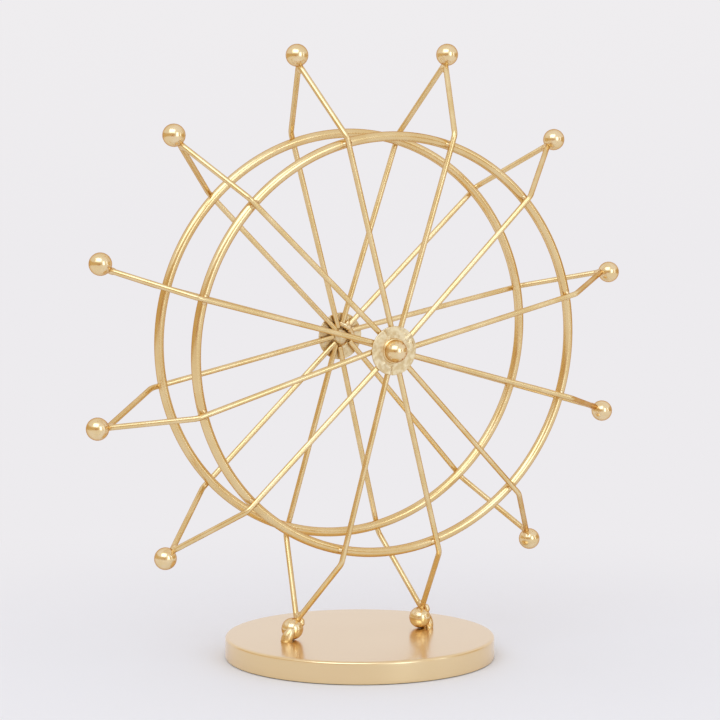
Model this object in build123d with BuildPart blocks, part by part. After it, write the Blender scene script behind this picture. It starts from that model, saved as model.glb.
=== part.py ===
"""A table ornament in the form of a ferris wheel, soldered from wire, balls and discs.

Two wire rings stand side by side. Twelve arms join them: each arm is a front wire and a
rear wire, which run from the hubs straight over the rings, bend inward and meet at a ball.
The two lowest balls are the feet, soldered to a round weighted base. Nothing turns.

Millimetres. The origin is on the table under the middle of the base, +Z is up, the wheel's
front faces -Y, and its width lies along X.
"""
import os
from math import asin, cos, degrees, radians, sin, sqrt, tan

from build123d import *

os.makedirs("parts", exist_ok=True)

# ---- Driving dimensions ---------------------------------------------------------------

# The base: a pressed cap over an iron plate and a soft pad.
base_diameter = 150.0
base_height = 12.2
shell_wall = 1.0
shell_edge_radius = 1.4
pad_thickness = 3.0
pad_below_rim = 0.4
base_clearance = 0.3

# The rings.
ring_radius = 112.5
ring_wire = 5.1
ring_spacing = 52.6

# The wires of the arms.
spoke_wire = 3.0
bend_radius = 6.0

# The balls, which are all the same, and the plates at the hubs.
ball_diameter = 12.0
disc_diameter = 26.5
disc_thickness = 1.0
disc_edge_radius = 0.3
hub_ball_stand_out = 2.0
hub_shift_x = -1.4
hub_shift_up = -1.2

# Gap that solder fills between two soldered pieces.
solder_gap = 0.1
tip_bead_radius = 2.4
ring_bead_radius = 2.5
hub_bead_radius = 2.4
foot_bead_radius = 3.0
foot_bead_step = 4.2

# How the wheel stands: it leans forward, on feet a little behind the base's middle.
wheel_lean = 4.65
foot_drop = 158.7
foot_setback = 2.3
right_foot_forward = 2.6

# The arms, anticlockwise from the right as the front sees them. Hand work is uneven, so each
# has its own angle of the tip, and its wires meet the ball a little anticlockwise of the line
# to the wheel's middle, by "aside". Each wire has the angle where it crosses its ring, how far
# to the right of the hub's middle it passes, looking outward, and how far beyond the ring it
# bends. A free ball stands "out" further from the middle than the rest. The feet's places
# follow from the base.
tip_beyond_ring = 48.5
arms = [
    {"tip": 13.4, "aside": 1.3, "front": (13.7, 1.7, 4.5), "rear": (13.0, -2.2, 5.0), "out": -1.1},
    {"tip": 44.8, "aside": 0.5, "front": (45.4, 2.6, 2.5), "rear": (45.8, -1.5, 4.8), "out": -1.1},
    {"tip": 75.1, "aside": -0.3, "front": (74.6, 1.4, 6.2), "rear": (75.3, -2.0, 4.3), "out": 1.6},
    {"tip": 107.7, "aside": 0.3, "front": (106.4, 2.6, 3.7), "rear": (108.3, -0.9, 5.0), "out": -0.5},
    {"tip": 137.0, "aside": 0.9, "front": (137.8, 1.8, 4.8), "rear": (137.2, 0.2, 2.5), "out": -0.9},
    {"tip": 164.6, "aside": 1.8, "front": (166.1, 1.5, 4.8), "rear": (165.9, 1.1, 5.0), "out": 0.3},
    {"tip": 195.3, "aside": 1.0, "front": (196.7, 3.0, 5.0), "rear": (193.2, 1.0, 5.2), "out": 0.0},
    {"tip": 224.4, "aside": -0.2, "front": (225.4, -0.7, 5.7), "rear": (225.0, 0.4, 5.3), "out": 1.5},
    {"tip": 255.7, "aside": 1.3, "front": (256.9, -0.8, 7.0), "rear": (254.0, 2.2, 4.1), "foot": "left"},
    {"tip": 283.5, "aside": 2.0, "front": (286.1, -1.2, 6.2), "rear": (282.9, 2.5, 5.8), "foot": "right"},
    {"tip": 312.9, "aside": 1.6, "front": (314.4, -0.6, 5.4), "rear": (313.0, -1.8, 5.5), "out": 0.7},
    {"tip": 344.0, "aside": 1.0, "front": (344.7, -0.1, 6.0), "rear": (344.1, -0.2, 5.0), "out": 1.3},
]

# ---- Sizes and places that follow -----------------------------------------------------

arm_count = len(arms)
ball_radius = ball_diameter / 2
wire_radius = spoke_wire / 2
lean_cos = cos(radians(wheel_lean))
lean_sin = sin(radians(wheel_lean))

# The balls of the feet stand on the base, and carry the middle of the wheel.
foot_ball_height = base_height + solder_gap + ball_radius
wheel_middle_y = foot_setback - foot_drop * lean_sin
wheel_middle_z = foot_ball_height + foot_drop * lean_cos

# The wheel's own plane: x to the right, y up along the lean, z out of its front.
wheel_plane = Plane(
    origin=(0, wheel_middle_y, wheel_middle_z),
    x_dir=(1, 0, 0),
    z_dir=(0, -lean_cos, -lean_sin),
)

# Depths from the middle plane out to the ring, the wires on its face, the plate and the ball.
ring_depth = ring_spacing / 2
spoke_depth = ring_depth + ring_wire / 2 + solder_gap + wire_radius
disc_inner_depth = spoke_depth + wire_radius + solder_gap
disc_outer_depth = disc_inner_depth + disc_thickness
hub_ball_depth = disc_outer_depth + hub_ball_stand_out


def ball_section_radius(distance):
    """Radius of the circle in which a plane this far from its middle cuts a ball."""
    return sqrt(ball_radius**2 - distance**2)


# The hub's middle, and the ball's radius there on the inner side of the plate.
hub_middle = Vector(hub_shift_x, hub_shift_up)
hub_ball_radius_at_disc = ball_section_radius(hub_ball_stand_out + disc_thickness)


def wheel_point(x, up, depth):
    """A place in the wheel's plane, as a point of the whole object."""
    return wheel_plane.from_local_coords(Vector(x, up, depth))


def facing_out(x, up, depth):
    """A plane at a place of the wheel, with its own x pointing away from the wheel's middle."""
    outward = wheel_point(x, up, depth) - wheel_point(0, 0, depth)
    return Plane(wheel_point(x, up, depth), x_dir=outward, z_dir=wheel_plane.z_dir)


def polar(radius, angle):
    """The x and up of a place at this radius and angle in the wheel's plane."""
    return radius * cos(radians(angle)), radius * sin(radians(angle))


def tip_place(arm):
    """Local x, up and depth of the middle of an arm's ball."""
    angle = arms[arm]["tip"]
    if "foot" not in arms[arm]:
        return (*polar(ring_radius + tip_beyond_ring + arms[arm]["out"], angle), 0)
    depth = right_foot_forward if arms[arm]["foot"] == "right" else 0
    up = (foot_ball_height - wheel_middle_z + depth * lean_sin) / lean_cos
    return up / tan(radians(angle)), up, depth


tip_places = [tip_place(arm) for arm in range(arm_count)]


def wire(arm, side):
    """A wire's crossing angle, its step aside and its bend's place. side is 1 front, -1 rear."""
    return arms[arm]["front" if side > 0 else "rear"]


def ring_crossing(arm, side):
    """Local x and up of the place where a wire crosses its ring."""
    return polar(ring_radius, wire(arm, side)[0])


def straight_run(arm, side):
    """A wire's straight run: its point nearest to the hub's middle, and its way outward."""
    aside = wire(arm, side)[1]
    crossing = Vector(*ring_crossing(arm, side)) - hub_middle
    outward = crossing.rotate(Axis.Z, degrees(asin(aside / crossing.length))).normalized()
    return hub_middle + crossing - outward * crossing.dot(outward), outward


def wire_start(arm, side):
    """Where a wire starts: as near to the hub's middle as the ball and its neighbours allow."""
    nearest, outward = straight_run(arm, side)
    clear_of = [hub_ball_radius_at_disc + solder_gap]
    for step in (1, -1):
        other, other_outward = straight_run((arm + step) % arm_count, side)
        apart_at_nearest = step * (nearest - other).cross(other_outward).Z
        apart_per_length = step * outward.cross(other_outward).Z
        clear_of.append((spoke_wire + solder_gap - apart_at_nearest) / apart_per_length)
    return nearest + outward * max(clear_of)


def on_fork(arm, back):
    """Local x and up of a place where an arm's wires meet, so far back from the ball's middle."""
    tip = Vector(*tip_places[arm][:2])
    outward = tip.normalized()
    place = tip - outward * back + outward.rotate(Axis.Z, 90) * arms[arm]["aside"]
    return place.X, place.Y


def spoke_corners(arm, side):
    """Local corners of one wire: at the hub, at the bend beyond the ring, and at the ball."""
    start = wire_start(arm, side)
    outward = straight_run(arm, side)[1]
    bend_beyond_ring = wire(arm, side)[2]
    bend = Vector(*ring_crossing(arm, side)) + outward * bend_beyond_ring

    tip_x, tip_up, tip_depth = tip_places[arm]
    slope_run = Vector(tip_x, tip_up).length - ball_radius - ring_radius - bend_beyond_ring
    slope = Vector(slope_run, spoke_depth).normalized()
    # The cut end's inner edge lies on the arm's middle, its outer edge just short of the ball.
    end_depth = side * (wire_radius * slope.X + solder_gap / 2) + tip_depth
    past_wire = max(abs(arms[arm]["aside"]) - wire_radius, 0)
    ball_near_end = ball_section_radius(Vector(2 * wire_radius * slope.X, past_wire).length)
    turned_edge = wire_radius * abs(arms[arm]["aside"]) / slope_run
    end = on_fork(arm, ball_near_end + wire_radius * slope.Y + turned_edge + solder_gap)
    depth = side * spoke_depth
    return (start.X, start.Y, depth), (bend.X, bend.Y, depth), (*end, end_depth)


def save(piece, name):
    """Name a finished piece and write it to its own file."""
    piece.part.label = name
    export_step(piece.part, f"parts/{name}.step")


# ---- Base -----------------------------------------------------------------------------

with BuildPart() as base_shell:
    with BuildSketch(Plane.XY.offset(pad_below_rim)):
        Circle(base_diameter / 2)
    extrude(amount=base_height - pad_below_rim)
    fillet(base_shell.edges().sort_by(Axis.Z)[-1], radius=shell_edge_radius)
    offset(amount=-shell_wall, openings=base_shell.faces().sort_by(Axis.Z)[0])
save(base_shell, "base_shell")

base_inside_radius = base_diameter / 2 - shell_wall - base_clearance
weight_height = base_height - shell_wall - pad_thickness

with BuildPart() as base_weight:
    with BuildSketch(Plane.XY.offset(pad_thickness)):
        Circle(base_inside_radius)
    extrude(amount=weight_height)
    chamfer(base_weight.edges().sort_by(Axis.Z)[-1], length=shell_edge_radius)
save(base_weight, "base_weight")

with BuildPart() as base_pad:
    with BuildSketch():
        Circle(base_inside_radius)
    extrude(amount=pad_thickness)
save(base_pad, "base_pad")

# ---- Rings ----------------------------------------------------------------------------

rings = {}
for side, side_name in ((1, "front"), (-1, "rear")):
    with BuildPart(wheel_plane.offset(side * ring_depth)) as ring:
        Torus(ring_radius, ring_wire / 2)
    save(ring, f"{side_name}_ring")
    rings[side] = ring.part

# ---- Arms: two wires and a ball each --------------------------------------------------

balls = []
foot_outward = {"left": -1, "right": 1}
for arm in range(arm_count):
    foot = arms[arm].get("foot")
    if foot:
        inward = (-foot_outward[foot], 0, 0)
        ball_plane = Plane(wheel_point(*tip_places[arm]), x_dir=inward, z_dir=wheel_plane.z_dir)
    else:
        ball_plane = facing_out(*tip_places[arm])
    with BuildPart(ball_plane) as ball:
        Sphere(ball_radius)
    save(ball, f"foot_ball_{foot}" if foot else f"tip_ball_{arm + 1:02d}")
    balls.append(ball.part)

spokes = {1: [], -1: []}
for side, side_name in ((1, "front"), (-1, "rear")):
    for arm in range(arm_count):
        corners = [wheel_point(*corner) for corner in spoke_corners(arm, side)]
        with BuildPart() as spoke:
            with BuildLine() as path:
                FilletPolyline(*corners, radius=bend_radius)
            with BuildSketch(Plane(origin=path.line @ 0, z_dir=path.line % 0)):
                Circle(wire_radius)
            sweep()
        save(spoke, f"{side_name}_spoke_{arm + 1:02d}")
        spokes[side].append(spoke.part)

# ---- Hubs: a plate over the wires' inner ends, and a ball set in its hole --------------

hub_balls = {}
for side, side_name in ((1, "front"), (-1, "rear")):
    hub_ball_place = wheel_point(hub_shift_x, hub_shift_up, side * hub_ball_depth)
    with BuildPart(Plane(hub_ball_place)) as hub_ball:
        Sphere(ball_radius)
    save(hub_ball, f"{side_name}_hub_ball")
    hub_balls[side] = hub_ball.part

    disc_place = wheel_point(hub_shift_x, hub_shift_up, side * disc_inner_depth)
    disc_plane = Plane(disc_place, x_dir=(1, 0, 0), z_dir=wheel_plane.z_dir * side)
    with BuildPart() as hub_disc:
        with BuildSketch(disc_plane):
            Circle(disc_diameter / 2)
            Circle(ball_section_radius(hub_ball_stand_out) + solder_gap, mode=Mode.SUBTRACT)
        extrude(amount=disc_thickness)
        rim = hub_disc.edges().filter_by(GeomType.CIRCLE).group_by(SortBy.RADIUS)[-1]
        fillet(rim, radius=disc_edge_radius)
    save(hub_disc, f"{side_name}_hub_disc")

# ---- Solder ---------------------------------------------------------------------------


def solder(places, radius, neighbours):
    """Overlapping drops of solder, cut to fit the pieces that they join."""
    with BuildPart() as drops:
        with Locations(*places):
            Sphere(radius)
        for neighbour in neighbours:
            add(neighbour, mode=Mode.SUBTRACT)
    return drops.part


def save_group(pieces, name):
    """Write loose pieces of one kind together, each still a solid of its own."""
    group = Compound([solid for piece in pieces for solid in piece.solids()], label=name)
    export_step(group, f"parts/{name}.step")


# At each tip, one drop fills the fork of the two wires and reaches the ball.
tip_welds = []
for arm in range(arm_count):
    drop = facing_out(*on_fork(arm, ball_radius + tip_bead_radius / 2), tip_places[arm][2])
    joined = [balls[arm], spokes[1][arm], spokes[-1][arm]]
    tip_welds.append(solder([drop], tip_bead_radius, joined))
save_group(tip_welds, "tip_welds")

# On each ring, one drop wraps the place where a wire crosses its face.
for side, side_name in ((1, "front"), (-1, "rear")):
    ring_welds = []
    for arm in range(arm_count):
        drop = facing_out(*ring_crossing(arm, side), side * (ring_depth + ring_wire / 2))
        joined = [rings[side], spokes[side][arm]]
        ring_welds.append(solder([drop], ring_bead_radius, joined))
    save_group(ring_welds, f"{side_name}_ring_welds")

# Inside each hub, drops run together over the wires' ends, to one side of the ball. Each has
# its angle and its share of the ball's radius at the plate.
hub_welds = []
for side in (1, -1):
    drops = []
    for angle, share in ((20, 1.05), (50, 0.85), (85, 0.95)):
        x, up = polar(hub_ball_radius_at_disc * share, angle)
        lump_depth = side * (spoke_depth - wire_radius)
        drops.append(facing_out(x + hub_shift_x, up + hub_shift_up, lump_depth))
    joined = [hub_balls[side], *spokes[side]]
    hub_welds.append(solder(drops, hub_bead_radius, joined))
save_group(hub_welds, "hub_welds")

# Each foot has drops that run down its outer side to the base, and one that reaches under it.
with BuildPart() as below_base_top:
    with BuildSketch():
        Circle(base_diameter / 2)
    extrude(amount=base_height)

foot_welds = []
for arm in range(arm_count):
    if "foot" not in arms[arm]:
        continue
    middle = wheel_point(*tip_places[arm])
    far = ball_radius + foot_bead_radius / 2
    out_and_height = [
        (ball_radius - foot_bead_radius / 2, middle.Z),
        (ball_radius, (base_height + middle.Z) / 2),
        (far, base_height),
        (far - foot_bead_step, base_height),
    ]
    outward = foot_outward[arms[arm]["foot"]]
    drops = [(middle.X + outward * out, middle.Y, height) for out, height in out_and_height]
    joined = [balls[arm], below_base_top.part]
    foot_welds.append(solder(drops, foot_bead_radius, joined))
save_group(foot_welds, "foot_welds")
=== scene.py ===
# %% [markdown]
# # A wire ferris wheel ornament
# The object is a table ornament: two wire rings, twelve arms of bent wire that end in small
# balls, a plate and a ball at each hub, and a round base. It is all one soldered piece under a
# coat of satin gold. The CAD model gives every place and size, so the first step loads
# it, and each new surface is laid on top of the solid that it stands for.

import math

import bpy
import numpy as np
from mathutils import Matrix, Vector


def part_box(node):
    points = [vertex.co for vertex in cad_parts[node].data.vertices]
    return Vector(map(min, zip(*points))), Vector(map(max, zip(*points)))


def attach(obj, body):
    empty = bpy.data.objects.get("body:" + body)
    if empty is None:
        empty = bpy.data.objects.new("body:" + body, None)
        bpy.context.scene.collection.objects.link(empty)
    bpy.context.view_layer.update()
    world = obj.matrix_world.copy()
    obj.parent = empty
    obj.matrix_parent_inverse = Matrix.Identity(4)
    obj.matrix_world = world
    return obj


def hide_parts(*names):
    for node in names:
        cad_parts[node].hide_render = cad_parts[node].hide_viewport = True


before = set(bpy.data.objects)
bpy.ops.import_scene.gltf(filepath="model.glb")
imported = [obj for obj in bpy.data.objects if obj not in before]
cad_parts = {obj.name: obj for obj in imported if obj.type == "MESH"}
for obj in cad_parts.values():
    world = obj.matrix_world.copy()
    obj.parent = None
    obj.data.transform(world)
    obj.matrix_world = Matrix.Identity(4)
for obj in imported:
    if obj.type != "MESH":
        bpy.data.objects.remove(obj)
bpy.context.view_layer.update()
MM = 0.001

# %% [markdown]
# ## The wheel's own axes
# The wheel leans forward a little, so its wires are easiest to describe in its own plane: x to
# the right, y up along the lean, z out of its front. The middles of the two CAD rings give
# that plane without any number being typed twice.


# %% Wheel plane
def middle_of(node):
    """The middle of a CAD node's box: half the sum of its two corners."""
    low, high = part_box(node)
    return (np.array(low) + np.array(high)) / 2


FRONT, REAR = 1, -1
SIDE_NAMES = {FRONT: "front", REAR: "rear"}
wheel_middle = (middle_of("front_ring") + middle_of("rear_ring")) / 2
wheel_z = middle_of("front_ring") - middle_of("rear_ring")
ring_depth = np.linalg.norm(wheel_z) / 2
wheel_z = wheel_z / np.linalg.norm(wheel_z)
wheel_x = np.array([1.0, 0.0, 0.0])
wheel_y = np.cross(wheel_z, wheel_x)


def wheel_point(local):
    """Wheel coordinates to scene coordinates: the middle plus x, y and z times their axes."""
    local = np.asarray(local, float)
    return wheel_middle + local @ np.array([wheel_x, wheel_y, wheel_z])


def polar(radius, degrees):
    """x = radius times cosine, y = radius times sine, in the wheel's plane."""
    return np.array([radius * np.cos(np.radians(degrees)), radius * np.sin(np.radians(degrees))])


print("wheel middle in mm:", np.round(wheel_middle / MM, 2), "lean in degrees:",
      round(math.degrees(math.asin(-wheel_z[2])), 2))

# %% [markdown]
# ## The camera
# The view was worked out from the two rings, the balls and the base together: the camera
# stands low, about a metre away and to the left, and its lens is a long one, which keeps the
# wheel nearly round. A constraint could aim the camera at the wheel. A turn worked out once from
# two angles does the same and can be read off the numbers.

# %% Camera
VIEW_AZIMUTH, VIEW_ELEVATION = -26.901, 3.326
VIEW_DISTANCE = 1.0783
VIEW_TARGET = Vector((0.0001, 0.0, 0.1654))
LENS, SENSOR_WIDTH = 97.30, 36.0

azimuth, elevation = math.radians(VIEW_AZIMUTH), math.radians(VIEW_ELEVATION)
to_camera = Vector((
    math.sin(azimuth) * math.cos(elevation),
    -math.cos(azimuth) * math.cos(elevation),
    math.sin(elevation),
))
camera_data = bpy.data.cameras.new("view")
camera_data.lens = LENS
camera_data.sensor_width = SENSOR_WIDTH
camera = bpy.data.objects.new("view", camera_data)
camera.location = VIEW_TARGET + to_camera * VIEW_DISTANCE
camera.rotation_mode = "QUATERNION"
camera.rotation_quaternion = (-to_camera).to_track_quat("-Z", "Y")
bpy.context.scene.collection.objects.link(camera)
bpy.context.scene.camera = camera
print("camera at", [round(v, 4) for v in camera.location])

# %% [markdown]
# ## Surfaces as grids of numbers
# Every new piece here is a surface with two parameters: one runs along a line, the other goes
# round it. A tube carries a circle along a path, and a turned piece carries a profile round an
# axis. Such pieces could be modelled by hand with curves and Spin, but a formula keeps their
# sizes exact. Numpy works out all points at once, and one helper puts them into a mesh. A
# surface that ends in a point shares one vertex there, so that no hole is left.


# %% Mesh helpers
def grid_quads(rows, columns):
    """Corner numbers of the quads of a grid whose columns close into a loop."""
    row = np.arange(rows - 1)[:, None] * columns
    here = np.arange(columns)[None, :]
    after = (here + 1) % columns
    quads = np.stack([row + here, row + after, row + columns + after, row + columns + here], -1)
    return quads.reshape(-1, 4)


def closed_surface(points):
    """Vertices and faces of a surface whose rows are loops, with its first and last row shrunk
    to one point each. points has the shape rows x columns x 3."""
    rows, columns = points.shape[:2]
    first, last = points[0].mean(0), points[-1].mean(0)
    body = points[1:-1].reshape(-1, 3)
    vertices = np.vstack([body, first, last])
    quads = grid_quads(rows - 2, columns)
    here = np.arange(columns)
    after = (here + 1) % columns
    start = np.stack([np.full(columns, len(body)), after, here], -1)
    end_row = (rows - 3) * columns
    end = np.stack([np.full(columns, len(body) + 1), end_row + here, end_row + after], -1)
    return vertices, quads, np.vstack([start, end])


def looped_surface(points):
    """Vertices and faces of a surface that closes in both directions, such as a ring."""
    rows, columns = points.shape[:2]
    quads = grid_quads(rows + 1, columns) % (rows * columns)
    return points.reshape(-1, 3), quads, np.empty((0, 3), int)


def signed_volume(vertices, quads, triangles):
    """Sum over all faces of a sixth of the box product of their corners: positive when the
    faces point outward."""
    all_triangles = np.vstack([quads[:, [0, 1, 2]], quads[:, [0, 2, 3]], triangles])
    a, b, c = (vertices[all_triangles[:, k]] for k in range(3))
    return float((np.cross(a, b) * c).sum() / 6)


def add_piece(name, surface, material, stands_for=(), second=None):
    """Make a mesh object from vertices and faces, turn it outward, and put it on the body.
    second is another material and a test of the faces' middles that says where it goes."""
    vertices, quads, triangles = surface
    if signed_volume(vertices, quads, triangles) < 0:
        quads, triangles = quads[:, ::-1], triangles[:, ::-1]
    mesh = bpy.data.meshes.new(name)
    mesh.vertices.add(len(vertices))
    mesh.vertices.foreach_set("co", np.ascontiguousarray(vertices, np.float32).ravel())
    corners = np.concatenate([quads.ravel(), triangles.ravel()]).astype(np.int32)
    counts = np.concatenate([np.full(len(quads), 4), np.full(len(triangles), 3)])
    starts = np.concatenate([[0], np.cumsum(counts)[:-1]]).astype(np.int32)
    mesh.loops.add(len(corners))
    mesh.loops.foreach_set("vertex_index", corners)
    mesh.polygons.add(len(counts))
    mesh.polygons.foreach_set("loop_start", starts)
    mesh.polygons.foreach_set("use_smooth", np.full(len(counts), True))
    mesh.update(calc_edges=True)
    mesh.validate()
    mesh.materials.append(material)
    if second:
        mesh.materials.append(second[0])
        middles = np.empty(3 * len(counts), np.float32)
        mesh.polygons.foreach_get("center", middles)
        chosen = second[1](middles.reshape(-1, 3)).astype(np.int32)
        mesh.polygons.foreach_set("material_index", chosen)
    piece = bpy.data.objects.new(name, mesh)
    bpy.context.scene.collection.objects.link(piece)
    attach(piece, "root")
    if stands_for:
        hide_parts(*stands_for)
    return piece


def join_surfaces(surfaces):
    """Several separate surfaces as one list of vertices and faces, numbers moved up in turn."""
    vertices, quads, triangles, count = [], [], [], 0
    for v, q, t in surfaces:
        if signed_volume(v, q, t) < 0:
            q, t = q[:, ::-1], t[:, ::-1]
        vertices.append(v)
        quads.append(q + count)
        triangles.append(t + count)
        count += len(v)
    return np.vstack(vertices), np.vstack(quads), np.vstack(triangles)


# %% [markdown]
# ## Materials
# The whole ornament has one satin gold coat, but it looks different on each kind of piece: the
# balls mirror most, the wires are a little softer, the flat base is satin, and the plates and
# solder are mottled. One even yellow would look like
# plastic. So each coat is a metal whose colour and roughness wander a little over patches of
# noise in Object coordinates, which needs no picture. The edge tint keeps the rims of wires and
# balls a warm amber, and a thin clear coat keeps the base pale where it is seen at a flat
# angle. Only the plates and the solder have fine bumps.


# %% Material helpers
def linear(hex_colour):
    """A screen colour such as "E2C284" as the linear numbers that shaders use."""
    values = np.array([int(hex_colour[i:i + 2], 16) for i in (0, 2, 4)]) / 255
    bent = np.where(values <= 0.04045, values / 12.92, ((values + 0.055) / 1.055) ** 2.4)
    return (*[float(v) for v in bent], 1.0)


def new_material(name):
    """A material with nodes, and its shader."""
    material = bpy.data.materials.new(name)
    material.use_nodes = True
    return material, material.node_tree, material.node_tree.nodes["Principled BSDF"]


def noise_node(tree, patch, detail):
    """Noise in Object coordinates, with patches of the given size in metres."""
    place = tree.nodes.new("ShaderNodeTexCoord")
    noise = tree.nodes.new("ShaderNodeTexNoise")
    noise.inputs["Scale"].default_value = 1 / patch
    noise.inputs["Detail"].default_value = detail
    tree.links.new(place.outputs["Object"], noise.inputs["Vector"])
    return noise


def two_colours(tree, source, colours, ends=(0.0, 1.0), blend="LINEAR"):
    """A blend from the first colour to the second while the source runs between the ends."""
    ramp = tree.nodes.new("ShaderNodeValToRGB")
    ramp.color_ramp.interpolation = blend
    for stop, place, colour in zip(ramp.color_ramp.elements, ends, colours):
        stop.position = place
        stop.color = linear(colour)
    tree.links.new(source, ramp.inputs["Fac"])
    return ramp.outputs["Color"]


def between(tree, source, values, ends):
    """A smooth step from the first value to the second while the source runs between the ends."""
    spread = tree.nodes.new("ShaderNodeMapRange")
    spread.interpolation_type = "SMOOTHSTEP"
    for socket, value in zip(("From Min", "From Max", "To Min", "To Max"), (*ends, *values)):
        spread.inputs[socket].default_value = value
    tree.links.new(source, spread.inputs["Value"])
    return spread.outputs["Result"]


def add_bumps(tree, shader, source, height, strength):
    """Bumps of the given height in metres on the shader's own normal."""
    bump = tree.nodes.new("ShaderNodeBump")
    bump.inputs["Strength"].default_value = strength
    bump.inputs["Distance"].default_value = height
    tree.links.new(source, bump.inputs["Height"])
    tree.links.new(bump.outputs["Normal"], shader.inputs["Normal"])


# %% [markdown]
# Noise keeps close to its middle value, so the two colours of a coat are set at the ends of the
# narrow part where it mostly lies.

# %% Satin gold
NOISE_ENDS = (0.35, 0.65)
GRAIN_STRENGTH = 0.25
AMBER, IVORY = "C98A38", "F6EADC"


def satin_gold(name, colours, roughness, patch, coat, tint=AMBER, grain=None):
    """Metal whose colour and roughness wander between two values over patches, under a thin
    clear coat. patch is in metres; coat is the coat's weight and roughness; grain is the size
    and the height of small bumps in metres, where the surface has any."""
    material, tree, shader = new_material(name)
    shader.inputs["Metallic"].default_value = 1.0
    shader.inputs["Specular Tint"].default_value = linear(tint)
    shader.inputs["Coat Weight"].default_value = coat[0]
    shader.inputs["Coat Roughness"].default_value = coat[1]
    patches = noise_node(tree, patch, detail=1.0).outputs["Fac"]
    colour = two_colours(tree, patches, colours, NOISE_ENDS, "EASE")
    tree.links.new(colour, shader.inputs["Base Color"])
    tree.links.new(between(tree, patches, roughness, NOISE_ENDS), shader.inputs["Roughness"])
    if grain:
        fine = noise_node(tree, grain[0], detail=2.0)
        add_bumps(tree, shader, fine.outputs["Fac"], grain[1], GRAIN_STRENGTH)
    return material


# %% The gold coats
wire_gold = satin_gold("wire_gold", ("E8CC92", "EED6A4"), (0.26, 0.32), 0.012, (0.3, 0.14))
ring_gold = satin_gold("ring_gold", ("E8CA90", "ECD29E"), (0.19, 0.24), 0.016, (0.3, 0.14))
ball_gold = satin_gold("ball_gold", ("EED4A0", "F3DCB0"), (0.20, 0.23), 0.006, (0.4, 0.10))
base_gold = satin_gold("base_gold", ("EFD4A3", "F1D7A8"), (0.275, 0.285), 0.060, (1.0, 0.16),
                       tint=IVORY)
plate_gold = satin_gold("plate_gold", ("DCC494", "F0E0BA"), (0.36, 0.48), 0.0024, (0.6, 0.3),
                        grain=(0.0006, 0.00005))
solder_gold = satin_gold("solder_gold", ("E6C68C", "F0DAAE"), (0.26, 0.34), 0.003, (0.6, 0.14),
                         grain=(0.0020, 0.00001))
for coat in (wire_gold, ring_gold, ball_gold, base_gold, plate_gold, solder_gold):
    print(coat.name, "has nodes:", len(coat.node_tree.nodes))

# %% [markdown]
# So light and tall a wheel needs a heavy foot, so the model has an iron plate inside its base.
# That plate is a guess. Below it is a soft pad against slipping, of which the real one shows
# only a thin dark edge. The CAD solids have the right shape already, so they stay and only get
# a finish: dark cast iron, and black foam with fine cells, both from one simple recipe.


# %% Iron and foam
def plain_finish(name, colours, roughness, cell, depth, metallic):
    """Two close colours in cells of one size, with the same cells as bumps."""
    material, tree, shader = new_material(name)
    shader.inputs["Metallic"].default_value = metallic
    shader.inputs["Roughness"].default_value = roughness
    cells = noise_node(tree, cell, detail=4.0).outputs["Fac"]
    tree.links.new(two_colours(tree, cells, colours), shader.inputs["Base Color"])
    add_bumps(tree, shader, cells, depth, strength=1.0)
    return material


iron = plain_finish("weight_iron", ("2A2A2C", "4A4946"), roughness=0.6, cell=0.004,
                    depth=0.0002, metallic=0.8)
foam = plain_finish("pad_foam", ("141414", "2A2A29"), roughness=0.9, cell=0.0006,
                    depth=0.0002, metallic=0.0)
for node, finish in (("base_weight", iron), ("base_pad", foam)):
    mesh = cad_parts[node].data
    mesh.materials.clear()
    mesh.materials.append(finish)
    print(node, "gets", finish.name)

# %% [markdown]
# ## The base
# The base looks like a thin pressed cap with a small round edge. Its underside can't be seen,
# and the open cap with a rounded rim is a guess. A cylinder with a bevel would give the outside
# only. So the cap is turned: a profile goes from the middle of the top, round the edge, down
# the side, under the rim and back up inside, and is then carried once round.


# %% Base shell
def arc(middle, radius, start, end, count):
    """Points of a circular arc in a profile: middle plus radius times cosine and sine."""
    t = np.radians(np.linspace(start, end, count))
    return np.stack([middle[0] + radius * np.cos(t), middle[1] + radius * np.sin(t)], -1)


def turned(profile, middle, axis, across, columns=96):
    """A profile of (radius, height) points carried round an axis: each point becomes middle +
    height times axis + radius times (cosine times across + sine times the third direction)."""
    third = np.cross(axis, across)
    t = np.linspace(0, 2 * np.pi, columns, endpoint=False)
    round_about = np.cos(t)[:, None] * across + np.sin(t)[:, None] * third
    profile = np.asarray(profile, float)
    return middle + profile[:, 1, None, None] * axis + profile[:, 0, None, None] * round_about


BASE_RADIUS, BASE_TOP, BASE_BOTTOM = 75.0 * MM, 12.2 * MM, 0.4 * MM
SHELL_WALL, SHELL_EDGE, RIM_EDGE = 1.0 * MM, 1.4 * MM, 0.25 * MM
BASE_COLUMNS = 360
inner = BASE_RADIUS - SHELL_WALL
UP, ACROSS = np.array([0.0, 0.0, 1.0]), np.array([1.0, 0.0, 0.0])
base_profile = np.vstack([
    [(r, BASE_TOP) for r in np.linspace(0, BASE_RADIUS - SHELL_EDGE, 24)[:-1]],
    arc((BASE_RADIUS - SHELL_EDGE, BASE_TOP - SHELL_EDGE), SHELL_EDGE, 90, 0, 14),
    [(BASE_RADIUS, z) for z in np.linspace(BASE_TOP - SHELL_EDGE, BASE_BOTTOM + RIM_EDGE, 8)[1:-1]],
    arc((BASE_RADIUS - RIM_EDGE, BASE_BOTTOM + RIM_EDGE), RIM_EDGE, 0, -90, 5),
    arc((inner + RIM_EDGE, BASE_BOTTOM + RIM_EDGE), RIM_EDGE, -90, -180, 5),
    [(inner, BASE_TOP - SHELL_WALL)],
    [(r, BASE_TOP - SHELL_WALL) for r in np.linspace(inner, 0, 6)[1:]],
])
shell = closed_surface(turned(base_profile, np.zeros(3), UP, ACROSS, BASE_COLUMNS))
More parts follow.
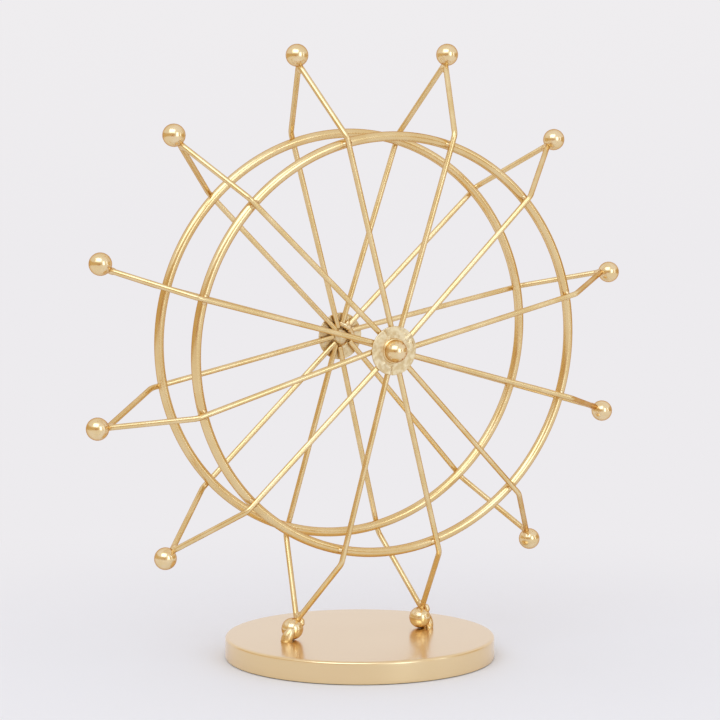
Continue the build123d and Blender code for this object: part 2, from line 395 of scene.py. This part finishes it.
add_piece("base_cap", shell, base_gold, ["base_shell"])
print("base cap faces:", len(shell[1]) + len(shell[2]))

# %% [markdown]
# ## The rings
# Each ring is a thick wire bent into a circle, and no joint shows. Blender's own torus would do
# for it, but the formula is as short and follows the wheel's lean: at every point of the ring's
# circle the wire's own circle stands square to it. Many steps keep the outline smooth.

# %% Rings
RING_RADIUS, RING_WIRE = 112.5 * MM, 5.1 * MM


def ring_surface(depth, columns=32, rows=720):
    """A circle of the ring's radius in the wheel's plane, with the wire's circle round it."""
    t = np.linspace(0, 2 * np.pi, rows, endpoint=False)[:, None]
    s = np.linspace(0, 2 * np.pi, columns, endpoint=False)[None, :]
    reach = RING_RADIUS + RING_WIRE / 2 * np.cos(s)
    out = depth + RING_WIRE / 2 * np.sin(s) + 0 * t
    return wheel_point(np.stack([reach * np.cos(t), reach * np.sin(t), out], -1))


for side, side_name in SIDE_NAMES.items():
    ring = looped_surface(ring_surface(side * ring_depth))
    add_piece(f"{side_name}_ring_wire", ring, ring_gold, [f"{side_name}_ring"])
    print(side_name, "ring faces:", len(ring[1]))

# %% [markdown]
# ## The arms
# Each arm has a front wire and a rear wire. A wire starts beside the hub, runs straight over
# the face of its ring, bends inward just beyond it and ends at the ball, where it meets the
# other one. Hand work is a little uneven: every wire crosses its ring at an angle of its own,
# passes the hub's middle a little to one side, and bends at its own place beyond the ring. The
# fork of each arm meets its ball a little to one side too. The numbers are the CAD model's.

# %% The twelve arms
ARMS = {
    # arm: step aside at the ball, front wire, rear wire. A wire has the angle of its crossing,
    # its step to the right of the hub's middle, and the distance from ring to bend (angles in
    # degrees, the rest in mm)
    1: (1.3, (13.7, 1.7, 4.5), (13.0, -2.2, 5.0)),
    2: (0.5, (45.4, 2.6, 2.5), (45.8, -1.5, 4.8)),
    3: (-0.3, (74.6, 1.4, 6.2), (75.3, -2.0, 4.3)),
    4: (0.3, (106.4, 2.6, 3.7), (108.3, -0.9, 5.0)),
    5: (0.9, (137.8, 1.8, 4.8), (137.2, 0.2, 2.5)),
    6: (1.8, (166.1, 1.5, 4.8), (165.9, 1.1, 5.0)),
    7: (1.0, (196.7, 3.0, 5.0), (193.2, 1.0, 5.2)),
    8: (-0.2, (225.4, -0.7, 5.7), (225.0, 0.4, 5.3)),
    9: (1.3, (256.9, -0.8, 7.0), (254.0, 2.2, 4.1)),
    10: (2.0, (286.1, -1.2, 6.2), (282.9, 2.5, 5.8)),
    11: (1.6, (314.4, -0.6, 5.4), (313.0, -1.8, 5.5)),
    12: (1.0, (344.7, -0.1, 6.0), (344.1, -0.2, 5.0)),
}
FEET = {9: "foot_ball_left", 10: "foot_ball_right"}
print("arms:", len(ARMS), "of which feet:", list(FEET))

# %% [markdown]
# All arms share these sizes. A wire lies on its ring's face, with a hair's breadth between, and
# the hub plates lie on the wires. Both hubs sit a little to the left of the rings' middle and
# below it.

# %% Sizes of arms, balls and plates
BALL_RADIUS = 6.0 * MM
WIRE_RADIUS = 1.5 * MM
BEND_RADIUS = 6.0 * MM
END_ROUNDING = 0.35 * MM
# how far a wire's end goes into its ball, and how far it stays off the arm's middle
END_IN_BALL, END_OFF_MIDDLE = 0.2 * MM, 0.85 * MM
GAP = 0.1 * MM
HUB_SHIFT = np.array([-1.4, -1.2]) * MM
PLATE_RADIUS, PLATE_THICKNESS, BALL_STANDS_OUT = 13.25 * MM, 1.0 * MM, 2.0 * MM
spoke_depth = ring_depth + RING_WIRE / 2 + GAP + WIRE_RADIUS
ball_at_plate = math.sqrt(BALL_RADIUS**2 - (BALL_STANDS_OUT + PLATE_THICKNESS) ** 2)
print("wires lie", round(spoke_depth / MM, 2), "mm from the wheel's middle plane")

# %% [markdown]
# Three corners describe a wire: its start beside the hub ball, its bend and its end. They
# follow from the table, from the place of the ball and from the sizes above.

# %% Corners of a wire
def ball_node(arm):
    """The CAD name of an arm's ball."""
    return FEET.get(arm, f"tip_ball_{arm:02d}")


def local(point):
    """Wheel coordinates of a place: its offset from the wheel's middle along each wheel axis."""
    offset = np.asarray(point) - wheel_middle
    return np.array([offset @ wheel_x, offset @ wheel_y, offset @ wheel_z])


def wire_numbers(arm, side):
    """Crossing angle in degrees, step aside and place of the bend in metres."""
    angle, aside, beyond = ARMS[arm][1 if side == FRONT else 2]
    return angle, aside * MM, beyond * MM


def straight_run(arm, side):
    """A wire's point nearest to the hub's middle, and its way outward. The way is that from
    the hub to the crossing, turned by the arc sine of the step aside over the distance."""
    angle, aside, _ = wire_numbers(arm, side)
    crossing = polar(RING_RADIUS, angle) - HUB_SHIFT
    distance = np.linalg.norm(crossing)
    sine = aside / distance
    cosine = math.sqrt(1 - sine**2)
    outward = np.array([[cosine, -sine], [sine, cosine]]) @ crossing / distance
    return HUB_SHIFT + crossing - outward * (crossing @ outward), outward


def on_fork(arm, back, aside=0.0, depth=0.0):
    """Wheel coordinates of a place at an arm's fork: so far back from the ball's middle toward
    the wheel, and the arm's own step aside plus one more across that."""
    tip = local(middle_of(ball_node(arm)))
    way = tip[:2] / np.hypot(tip[0], tip[1])
    across = np.array([-way[1], way[0]])
    place = tip[:2] - way * back + across * (ARMS[arm][0] * MM + aside)
    return np.array([*place, tip[2] + depth])


def wire_corners(arm, side):
    """Wheel coordinates of a wire's start beside the hub ball, its bend and its end, where it
    lies against the other wire and just enters the ball's skin."""
    nearest, outward = straight_run(arm, side)
    angle, _, beyond = wire_numbers(arm, side)
    start = nearest + outward * (ball_at_plate + GAP)
    bend = polar(RING_RADIUS, angle) + outward * beyond
    depth = side * spoke_depth
    end = on_fork(arm, BALL_RADIUS - END_IN_BALL, depth=side * END_OFF_MIDDLE)
    return np.array([*start, depth]), np.array([*bend, depth]), end


# %% [markdown]
# Stiff wire takes a small round bend, so each bend is an arc that touches both straight runs. A
# curve with a round bevel would give such a wire too. Here a circle is carried along the path:
# since a bent wire lies in one plane, the direction square to that plane serves all along it,
# and no twist can creep in. Both cut ends are rounded off, as wire is after it is cut and
# coated.


# %% Bent wire
ROUND_STEPS = 6


def bent_path(start, corner, end, radius, arc_steps=14):
    """Two straight runs joined by an arc: points, and the direction square to their plane."""
    first = (corner - start) / np.linalg.norm(corner - start)
    second = (end - corner) / np.linalg.norm(end - corner)
    square = np.cross(first, second)
    square /= np.linalg.norm(square)
    turn = math.acos(np.clip(first @ second, -1, 1))
    tangent = radius * math.tan(turn / 2)
    middle = corner - first * tangent + np.cross(square, first) * radius
    t = np.linspace(0, turn, arc_steps)[:, None]
    bow = middle + radius * (np.sin(t) * first - np.cos(t) * np.cross(square, first))
    run_in = np.linspace(start, corner - first * tangent, 24)[:-1]
    run_out = np.linspace(corner + second * tangent, end, 14)[1:]
    return np.vstack([run_in, bow, run_out]), square


def tube(path, square, radius, round_end, columns=20):
    """Circles carried along a path. Each lies between the plane's square direction and the
    one across the path; the last steps at both ends shrink along a quarter circle."""
    steps = np.gradient(path, axis=0)
    along = steps / np.linalg.norm(steps, axis=1)[:, None]
    q = np.linspace(0, np.pi / 2, ROUND_STEPS)
    head = path[0] + along[0] * (round_end * (1 - np.cos(q)))[:, None]
    tail = path[-1] - along[-1] * (round_end * (1 - np.cos(q[::-1])))[:, None]
    keep_start = np.linalg.norm(path - path[0], axis=1) > round_end
    keep_end = np.linalg.norm(path - path[-1], axis=1) > round_end
    body = keep_start & keep_end
    points = np.vstack([head, path[body], tail])
    shrink = round_end * (1 - np.sin(q))
    width = np.concatenate([radius - shrink, np.full(body.sum(), radius), radius - shrink[::-1]])
    width[0] = width[-1] = radius - round_end
    points = np.vstack([points[:1], points, points[-1:]])
    width = np.concatenate([[0], width, [0]])
    ends = ROUND_STEPS + 1
    along = np.vstack([np.repeat(along[:1], ends, 0), along[body],
                       np.repeat(along[-1:], ends, 0)])
    across = np.cross(square, along)
    s = np.linspace(0, 2 * np.pi, columns, endpoint=False)
    round_about = (np.cos(s)[None, :, None] * square
                   + np.sin(s)[None, :, None] * across[:, None, :])
    return points[:, None, :] + width[:, None, None] * round_about


# %% The wires
for arm in ARMS:
    for side, side_name in SIDE_NAMES.items():
        corners = [wheel_point(corner) for corner in wire_corners(arm, side)]
        path, square = bent_path(*corners, BEND_RADIUS)
        wire = closed_surface(tube(path, square, WIRE_RADIUS, END_ROUNDING))
        add_piece(f"{side_name}_wire_{arm:02d}", wire, wire_gold,
                  [f"{side_name}_spoke_{arm:02d}"])
print("wires:", 2 * len(ARMS), "faces each:", len(wire[1]) + len(wire[2]))

# %% [markdown]
# ## The balls
# The balls are the smoothest pieces, with a clear small highlight. A ready made sphere would
# stand in for a ball, but a half circle turned round the wheel's depth axis follows its lean,
# and its two poles close in one point each. The inner side of the rear hub's ball looks as dull
# as the plates, so on both hub balls the faces behind the plate take that dull coat.


# %% Balls
def ball_surface(middle, radius=BALL_RADIUS, rows=49, columns=72):
    """A half circle from pole to pole carried round the wheel's depth axis."""
    profile = arc((0, 0), radius, 90, -90, rows)
    profile[[0, -1], 0] = 0
    return closed_surface(turned(profile, middle, wheel_z, wheel_x, columns))


for arm in ARMS:
    node = ball_node(arm)
    add_piece(f"{node}_polished", ball_surface(middle_of(node)), ball_gold, [node])
for side, side_name in SIDE_NAMES.items():
    node = f"{side_name}_hub_ball"
    middle = middle_of(node)

    def behind_plate(points, middle=middle, side=side):
        """True where a place lies further in than the plate: depth below the ball's middle."""
        return (points - middle) @ wheel_z * side < -(BALL_STANDS_OUT + PLATE_THICKNESS)

    add_piece(f"{node}_polished", ball_surface(middle), ball_gold, [node],
              second=(plate_gold, behind_plate))
print("balls:", len(ARMS), "at the tips and", len(SIDE_NAMES), "at the hubs")

# %% [markdown]
# ## The hub plates
# A thin round plate covers the wires' ends, and the hub ball sits in its hole. The front plate
# looks pressed on by hand and is not quite flat: it has a soft waviness, and short marks where
# solder and wires may press through. The rear plate's marks are made up, since its face can't
# be seen. Bumps in the material alone would leave the rim straight, so the marks are real
# height on a fine grid.

# %% Marks on the plates
MARKS = {
    # side: from x, y, to x, y, half width, height, all in mm on the plate's outer face
    FRONT: [(-5.9, 11.6, -3.9, 8.3, 0.55, -0.42), (-7.2, 10.2, -5.3, 7.6, 0.9, 0.20),
            (6.9, 6.1, 9.8, 8.6, 0.7, 0.38), (8.6, 5.2, 10.6, 7.2, 0.5, -0.30),
            (10.6, 6.4, 12.0, 2.4, 0.5, -0.34), (9.4, 4.0, 10.4, 0.8, 0.7, 0.22),
            (-5.4, -6.8, -1.9, -9.4, 0.9, 0.30), (-1.9, -9.4, -2.4, -12.6, 0.8, 0.34),
            (-0.6, -8.6, -1.2, -12.8, 0.45, -0.36), (2.2, -9.2, 3.0, -12.4, 0.8, -0.12),
            (-9.6, -2.6, -7.2, -7.4, 1.6, 0.12), (3.4, 11.6, 5.6, 9.8, 0.6, -0.20)],
    REAR: [(6.2, -9.8, 3.6, -7.9, 0.7, -0.34), (-9.9, 4.1, -8.2, 8.3, 0.8, 0.30),
           (-4.2, -10.4, -7.6, -8.2, 0.6, -0.26), (8.9, 3.0, 10.8, 6.6, 0.9, 0.24)],
}


def distance_to_line(points, start, end):
    """Distance from points to a short line: the share along it is kept between 0 and 1."""
    start, run = np.array(start), np.array(end) - np.array(start)
    share = np.clip(((points - start) @ run) / (run @ run), 0, 1)
    return np.linalg.norm(points - start - share[..., None] * run, axis=-1)


def plate_relief(points, side):
    """Height of the outer face: three slow waves plus, for each mark, its height times
    exp(-(distance / half width) squared). points are x and y in metres."""
    x, y = points[..., 0] / MM, points[..., 1] / MM
    # heights of the waves in mm; the numbers at x and y are their turns in radians per mm
    relief = 0.03 * np.sin(0.55 * x + 0.4 * y + side) + 0.02 * np.sin(0.9 * y - 0.35 * x)
    relief = relief + 0.012 * np.sin(1.3 * x + 0.7 * side) * np.cos(1.1 * y)
    for x0, y0, x1, y1, half_width, height in MARKS[side]:
        distance = distance_to_line(points / MM, (x0, y0), (x1, y1))
        relief = relief + height * np.exp(-(distance / half_width) ** 2)
    return relief * MM


# %% Hub plates
plate_inner_depth = spoke_depth + WIRE_RADIUS + GAP
plate_hole = math.sqrt(BALL_RADIUS**2 - BALL_STANDS_OUT**2) + GAP
PLATE_EDGE = 0.3 * MM


def plate_surface(side, columns=288):
    """A flat ring with a rounded rim, turned round the hub's own middle. Its outer face is
    lifted by the relief, which fades out along the rim's rounding."""
    out, hole, thick, edge = PLATE_RADIUS, plate_hole, PLATE_THICKNESS, PLATE_EDGE
    profile = np.vstack([
        [(r, thick) for r in np.linspace(hole, out - edge, 44)[:-1]],
        arc((out - edge, thick - edge), edge, 90, 0, 6),
        arc((out - edge, edge), edge, 0, -90, 6),
        [(r, 0) for r in np.linspace(out - edge, hole, 8)[1:]],
    ])
    middle = wheel_point([*HUB_SHIFT, side * plate_inner_depth])
    points = turned(profile, middle, wheel_z * side, wheel_x, columns)
    flat = np.stack([(points - middle) @ wheel_x, (points - middle) @ wheel_y], -1)
    face = np.clip(profile[:, 1] / thick, 0, 1)[:, None] ** 2
    return points + (plate_relief(flat, side) * face)[..., None] * wheel_z * side


for side, side_name in SIDE_NAMES.items():
    plate = looped_surface(plate_surface(side))
    add_piece(f"{side_name}_hub_plate", plate, plate_gold, [f"{side_name}_hub_disc"])
    print(side_name, "plate faces:", len(plate[1]))

# %% [markdown]
# The ball is soldered into the plate's hole, and what shows of that is a low rounded collar. It
# could be part of the plate's profile, but then it would take the plate's dull coat, and the
# real one shines. So it is a small ring: a circle round the hub's depth axis with the collar's
# own circle round it. That circle's points are 18 degrees apart, and the last one stops a step
# short of the first, since the surface closes by itself.

# %% Collars round the hub balls
COLLAR_RADIUS, COLLAR_THICKNESS = 6.1 * MM, 0.75 * MM
COLLAR_STEP, COLLAR_COLUMNS = 18, 120
collar_profile = arc((COLLAR_RADIUS, 0), COLLAR_THICKNESS, 0, 360 - COLLAR_STEP,
                     360 // COLLAR_STEP)
collar_depth = plate_inner_depth + PLATE_THICKNESS
collars = [
    looped_surface(turned(collar_profile, wheel_point([*HUB_SHIFT, side * collar_depth]),
                          wheel_z * side, wheel_x, COLLAR_COLUMNS))
    for side in SIDE_NAMES
]
add_piece("hub_collars", join_surfaces(collars), ring_gold)
print("collar faces each:", len(collars[0][1]))

# %% [markdown]
# ## Solder
# Solder runs into smooth lumps with no edges. Spheres pushed together would show creases. A
# better description is one skin round several drops: each drop adds its share to a sum, and the
# skin lies where the sum comes down to 1, so drops that lie close together melt into each other.


# %% A skin round drops
SEARCH_SPAN, HALVINGS = 1.5, 24


def melted(drops, soft=6.0, rows=21, columns=30):
    """One skin round drops, each a middle in scene coordinates and a radius. Along every
    direction from their common middle, it lies where the sum over the drops of
    exp(soft * (1 - distance / radius)) is 1. Halving the span finds that place."""
    middles = np.array([drop[0] for drop in drops])
    radii = np.array([drop[1] for drop in drops])
    centre = np.average(middles, axis=0, weights=radii)
    u = np.linspace(0, np.pi, rows)[:, None]
    v = np.linspace(0, 2 * np.pi, columns, endpoint=False)[None, :]
    ways = np.stack([np.sin(u) * np.cos(v), np.sin(u) * np.sin(v), np.cos(u) + 0 * v], -1)
    reach = max(np.linalg.norm(middles - centre, axis=1) + radii)
    inside = np.zeros(ways.shape[:2])
    outside = np.full(ways.shape[:2], SEARCH_SPAN * reach)
    for _ in range(HALVINGS):
        half = (inside + outside) / 2
        points = centre + half[..., None] * ways
        distance = np.linalg.norm(points[..., None, :] - middles, axis=-1)
        within = np.exp(soft * (1 - distance / radii)).sum(-1) > 1
        inside, outside = np.where(within, half, inside), np.where(within, outside, half)
    return closed_surface(centre + inside[..., None] * ways)


# %% [markdown]
# At a tip the solder fills the fork of the two wires and reaches the ball as a short neck. The
# feet have one more curl of it, high on the ball's right. Where a wire crosses its ring, only a
# small run of solder lies along the ring on both sides of it. All tips are one piece and all
# crossings of a ring another, because the CAD model groups its beads in the same way.

# %% Solder at the tips
# each drop: back from the ball's middle, aside, toward the front, and its radius, in mm
NECK = [(6.2, 0, 0, 1.8), (7.6, 0, 0.6, 1.7), (7.6, 0, -0.6, 1.7), (8.8, 0, 0, 1.1)]
CURL = [(4.0, 2.4, 1.8, 1.7), (5.6, 2.4, 1.4, 1.4), (6.6, 1.2, 0.8, 1.3)]
tip_lumps = []
for arm in ARMS:
    for drops_mm in (NECK, CURL) if arm in FEET else (NECK,):
        drops = [(wheel_point(on_fork(arm, back * MM, aside * MM, depth * MM)), radius * MM)
                 for back, aside, depth, radius in drops_mm]
        tip_lumps.append(melted(drops))
add_piece("tip_solder", join_surfaces(tip_lumps), solder_gold, ["tip_welds"])
print("lumps at the tips:", len(tip_lumps))

# %% Solder at the crossings
# the drop under the wire, and the two smaller ones beside it along the ring
MIDDLE_DROP, SIDE_DROP = 1.5 * MM, 1.25 * MM
SIDE_STEP, SIDE_INWARD = 1.7 * MM, 0.55 * MM
for side, side_name in SIDE_NAMES.items():
    crossing_lumps = []
    for arm in ARMS:
        angle = wire_numbers(arm, side)[0]
        depth = ring_depth + RING_WIRE / 2
        run = math.degrees(SIDE_STEP / RING_RADIUS)
        drops = [(wheel_point([*polar(RING_RADIUS, angle), side * depth]), MIDDLE_DROP)]
        for turn in (-run, run):
            place = [*polar(RING_RADIUS, angle + turn), side * (depth - SIDE_INWARD)]
            drops.append((wheel_point(place), SIDE_DROP))
        crossing_lumps.append(melted(drops, rows=15, columns=24))
    lumps = join_surfaces(crossing_lumps)
    add_piece(f"{side_name}_ring_solder", lumps, solder_gold,
              [f"{side_name}_ring_welds"])
    print(side_name, "ring: solder at", len(crossing_lumps), "crossings")

# %% [markdown]
# Inside each hub the solder lies in lumps over the wires' ends, mostly to one side of the ball.
# At each foot it runs down the ball's outer side and spreads on the base.

# %% Solder inside the hubs
HUB_DROPS = [
    # angle, distance from the hub's middle, depth in from the wires' middle, radius, in mm
    (12, 6.4, 0.5, 1.4), (34, 6.0, 0.7, 1.6), (56, 6.2, 1.0, 1.7), (76, 6.4, 1.0, 1.7),
    (68, 8.4, 0.9, 1.3), (96, 7.4, 0.6, 1.3), (36, 8.2, 0.5, 1.1),
]
hub_lumps = []
for side in SIDE_NAMES:
    drops = []
    for angle, distance, inward, radius in HUB_DROPS:
        place = [*(polar(distance * MM, angle) + HUB_SHIFT), side * (spoke_depth - inward * MM)]
        drops.append((wheel_point(place), radius * MM))
    hub_lumps.append(melted(drops, rows=49, columns=72))
add_piece("hub_solder", join_surfaces(hub_lumps), solder_gold, ["hub_welds"])
print("drops in each hub:", len(HUB_DROPS))

# %% Solder at the feet
FOOT_DROPS = {
    # arm: for each lump, outward from the ball's middle, toward the front, up from the base and
    # radius, in mm
    9: [[(2.2, 3.4, 6.2, 2.2), (3.1, 3.6, 4.7, 2.5), (4.0, 3.5, 3.2, 2.7), (4.8, 3.2, 1.7, 2.7),
         (5.4, 2.9, 0.4, 2.4)],
        [(5.2, 2.4, 0.0, 1.9), (3.4, 3.6, 0.0, 1.8), (6.4, 1.8, -0.2, 1.5)],
        [(4.4, -0.8, 0.3, 1.9), (2.6, 1.0, 1.2, 2.1)]],
    10: [[(4.4, 0.8, 6.2, 1.9), (4.8, 0.8, 4.7, 2.1), (5.0, 0.8, 3.2, 2.3), (5.2, 0.8, 1.8, 2.3),
          (5.4, 0.8, 0.6, 2.1)],
         [(5.8, 0.6, -0.2, 1.7), (4.6, 2.0, 0.0, 1.7), (4.4, -0.8, 0.0, 1.8)],
         [(3.8, -1.8, 0.3, 1.8), (3.0, -0.2, 1.2, 2.0)]],
}
FOOT_OUTWARD = {9: -1, 10: 1}
foot_lumps = []
for arm, lumps_mm in FOOT_DROPS.items():
    middle, outward = middle_of(FEET[arm]), FOOT_OUTWARD[arm]
    for drops_mm in lumps_mm:
        drops = [(np.array([middle[0] + outward * out * MM, middle[1] - front * MM,
                            BASE_TOP + up * MM]), radius * MM)
                 for out, front, up, radius in drops_mm]
        foot_lumps.append(melted(drops, soft=4.0, rows=33, columns=48))
add_piece("foot_solder", join_surfaces(foot_lumps), solder_gold, ["foot_welds"])
print("lumps at the feet:", len(foot_lumps))

# %% [markdown]
# ## The studio
# The ornament stands on a plain pale table before an equally pale wall, so no horizon shows. A
# surround that gives light from all sides does for the wall. It is a shade brighter higher up.


# %% Surround
BACKDROP_TOP, BACKDROP_LOW = "EFEDEF", "EDEBEE"
TOP_REACHED = 0.13
world = bpy.data.worlds.new("surround")
world.use_nodes = True
bpy.context.scene.world = world
tree = world.node_tree
place = tree.nodes.new("ShaderNodeTexCoord")
split = tree.nodes.new("ShaderNodeSeparateXYZ")
tree.links.new(place.outputs["Generated"], split.inputs["Vector"])
sky_colour = two_colours(tree, split.outputs["Z"], (BACKDROP_LOW, BACKDROP_TOP), (0, TOP_REACHED))
tree.links.new(sky_colour, tree.nodes["Background"].inputs["Color"])
tree.nodes["Background"].inputs["Strength"].default_value = 1.0
print("surround from", BACKDROP_LOW, "to", BACKDROP_TOP)

# %% [markdown]
# The floor has to take the ornament's shadow near the base, yet run out into the surround with
# no edge. So its material goes from a real surface under the ornament over to a glow of the
# surround's own colour further out.

# %% Floor
FLOOR_RADIUS, FLOOR_CORNERS = 12.0, 128
SURFACE_TO, GLOW_FROM = 0.04, 0.5
floor_material, tree, shader = new_material("floor")
shader.inputs["Base Color"].default_value = linear("ECEBEE")
shader.inputs["Roughness"].default_value = 0.7
shader.inputs["Specular IOR Level"].default_value = 0.2
place = tree.nodes.new("ShaderNodeTexCoord")
reach = tree.nodes.new("ShaderNodeVectorMath")
reach.operation = "LENGTH"
glow = tree.nodes.new("ShaderNodeEmission")
glow.inputs["Color"].default_value = linear(BACKDROP_LOW)
mix = tree.nodes.new("ShaderNodeMixShader")
tree.links.new(place.outputs["Object"], reach.inputs[0])
share = between(tree, reach.outputs["Value"], (0.0, 1.0), (SURFACE_TO, GLOW_FROM))
tree.links.new(share, mix.inputs["Fac"])
tree.links.new(shader.outputs["BSDF"], mix.inputs[1])
tree.links.new(glow.outputs["Emission"], mix.inputs[2])
tree.links.new(mix.outputs["Shader"], tree.nodes["Material Output"].inputs["Surface"])

t = np.linspace(0, 2 * np.pi, FLOOR_CORNERS, endpoint=False)
rim = FLOOR_RADIUS * np.stack([np.cos(t), np.sin(t), 0 * t], -1)
floor_mesh = bpy.data.meshes.new("floor")
floor_mesh.from_pydata(rim.tolist(), [], [list(range(FLOOR_CORNERS))])
floor_mesh.materials.append(floor_material)
floor = bpy.data.objects.new("floor", floor_mesh)
bpy.context.scene.collection.objects.link(floor)
print("floor radius in metres:", FLOOR_RADIUS)

# %% [markdown]
# Three soft lamps draw the bright lines on wires and balls: a large one above and left of the
# camera, and two upright ones to its right. Their places are counted from the camera, as so
# many degrees to the right of it and so many above, seen from the middle of the wheel. A round
# or small lamp would leave spots where the real wires have long lines. The light is a little
# cool, because gold turns all light warmer.


# %% Lamps
LAMP_COLOUR, LAMP_DISTANCE = (0.66, 0.83, 1.0), 1.7
LAMPS = {
    # name: degrees right of the camera, degrees above it, width and height in metres, watts
    "key_lamp": (-18, 42, 1.5, 1.0, 9.0),
    "strip_lamp": (36, 4, 0.5, 1.4, 5.0),
    "side_lamp": (72, 6, 0.2, 1.2, 1.0),
}


def from_camera(right, above):
    """A direction from the wheel: the camera's own, turned right and set at a height angle."""
    a, e = azimuth + math.radians(right), math.radians(above)
    return Vector((math.sin(a) * math.cos(e), -math.cos(a) * math.cos(e), math.sin(e)))


for name, (right, above, width, height, power) in LAMPS.items():
    data = bpy.data.lights.new(name, "AREA")
    data.shape = "RECTANGLE"
    data.size, data.size_y = width, height
    data.energy = power
    data.color = LAMP_COLOUR
    lamp = bpy.data.objects.new(name, data)
    way = from_camera(right, above)
    lamp.location = Vector(wheel_middle) + way * LAMP_DISTANCE
    lamp.rotation_euler = (-way).to_track_quat("-Z", "Y").to_euler()
    lamp.visible_camera = False
    bpy.context.scene.collection.objects.link(lamp)
    print(name, "at", [round(v, 2) for v in lamp.location])

# %% [markdown]
# Polished metal shows what stands round it. In an all white room the gold would look flat, so
# low warm walls stand about the wheel, with gaps where the upright lamps shine in, and a small
# darker patch takes the place of the camera itself. The picture sees them only in reflections.

# %% Walls for the reflections
WALL_STEPS = 40
WALLS = {
    # name: first and last degree right of the camera, bottom, top and distance in metres, colour
    "left_wall": (-125, 14, 0.02, 0.62, 1.4, "DEC494"),
    "right_wall": (54, 66, 0.02, 0.62, 1.4, "D8BC88"),
    "far_right_wall": (80, 125, 0.02, 0.62, 1.4, "D8BC88"),
    "camera_patch": (-22, -6, 0.05, 0.19, 1.1, "C07038"),
}


def wall_mesh(name, first, last, low, high, distance):
    """A piece of upright round wall: distance times the sine and minus cosine of an angle that
    runs from first to last, at two heights."""
    turn = azimuth + np.radians(np.linspace(first, last, WALL_STEPS))
    foot = np.stack([distance * np.sin(turn), -distance * np.cos(turn), 0 * turn + low], -1)
    vertices = np.vstack([foot, foot + [0, 0, high - low]])
    here = np.arange(WALL_STEPS - 1)
    faces = np.stack([here, here + WALL_STEPS, here + WALL_STEPS + 1, here + 1], -1)
    mesh = bpy.data.meshes.new(name)
    mesh.from_pydata(vertices.tolist(), [], faces.tolist())
    return mesh


for name, (*sizes, colour) in WALLS.items():
    mesh = wall_mesh(name, *sizes)
    material, _, shader = new_material(name)
    shader.inputs["Base Color"].default_value = linear(colour)
    shader.inputs["Roughness"].default_value = 1.0
    shader.inputs["Specular IOR Level"].default_value = 0.0
    mesh.materials.append(material)
    wall = bpy.data.objects.new(name, mesh)
    wall.visible_camera = False
    bpy.context.scene.collection.objects.link(wall)
    print(name, "faces:", len(mesh.polygons))

# %% [markdown]
# ## The view transform
# The view transform is the plain one, so a colour shows as it was chosen.

# %% Finish
bpy.context.scene.view_settings.view_transform = "Standard"
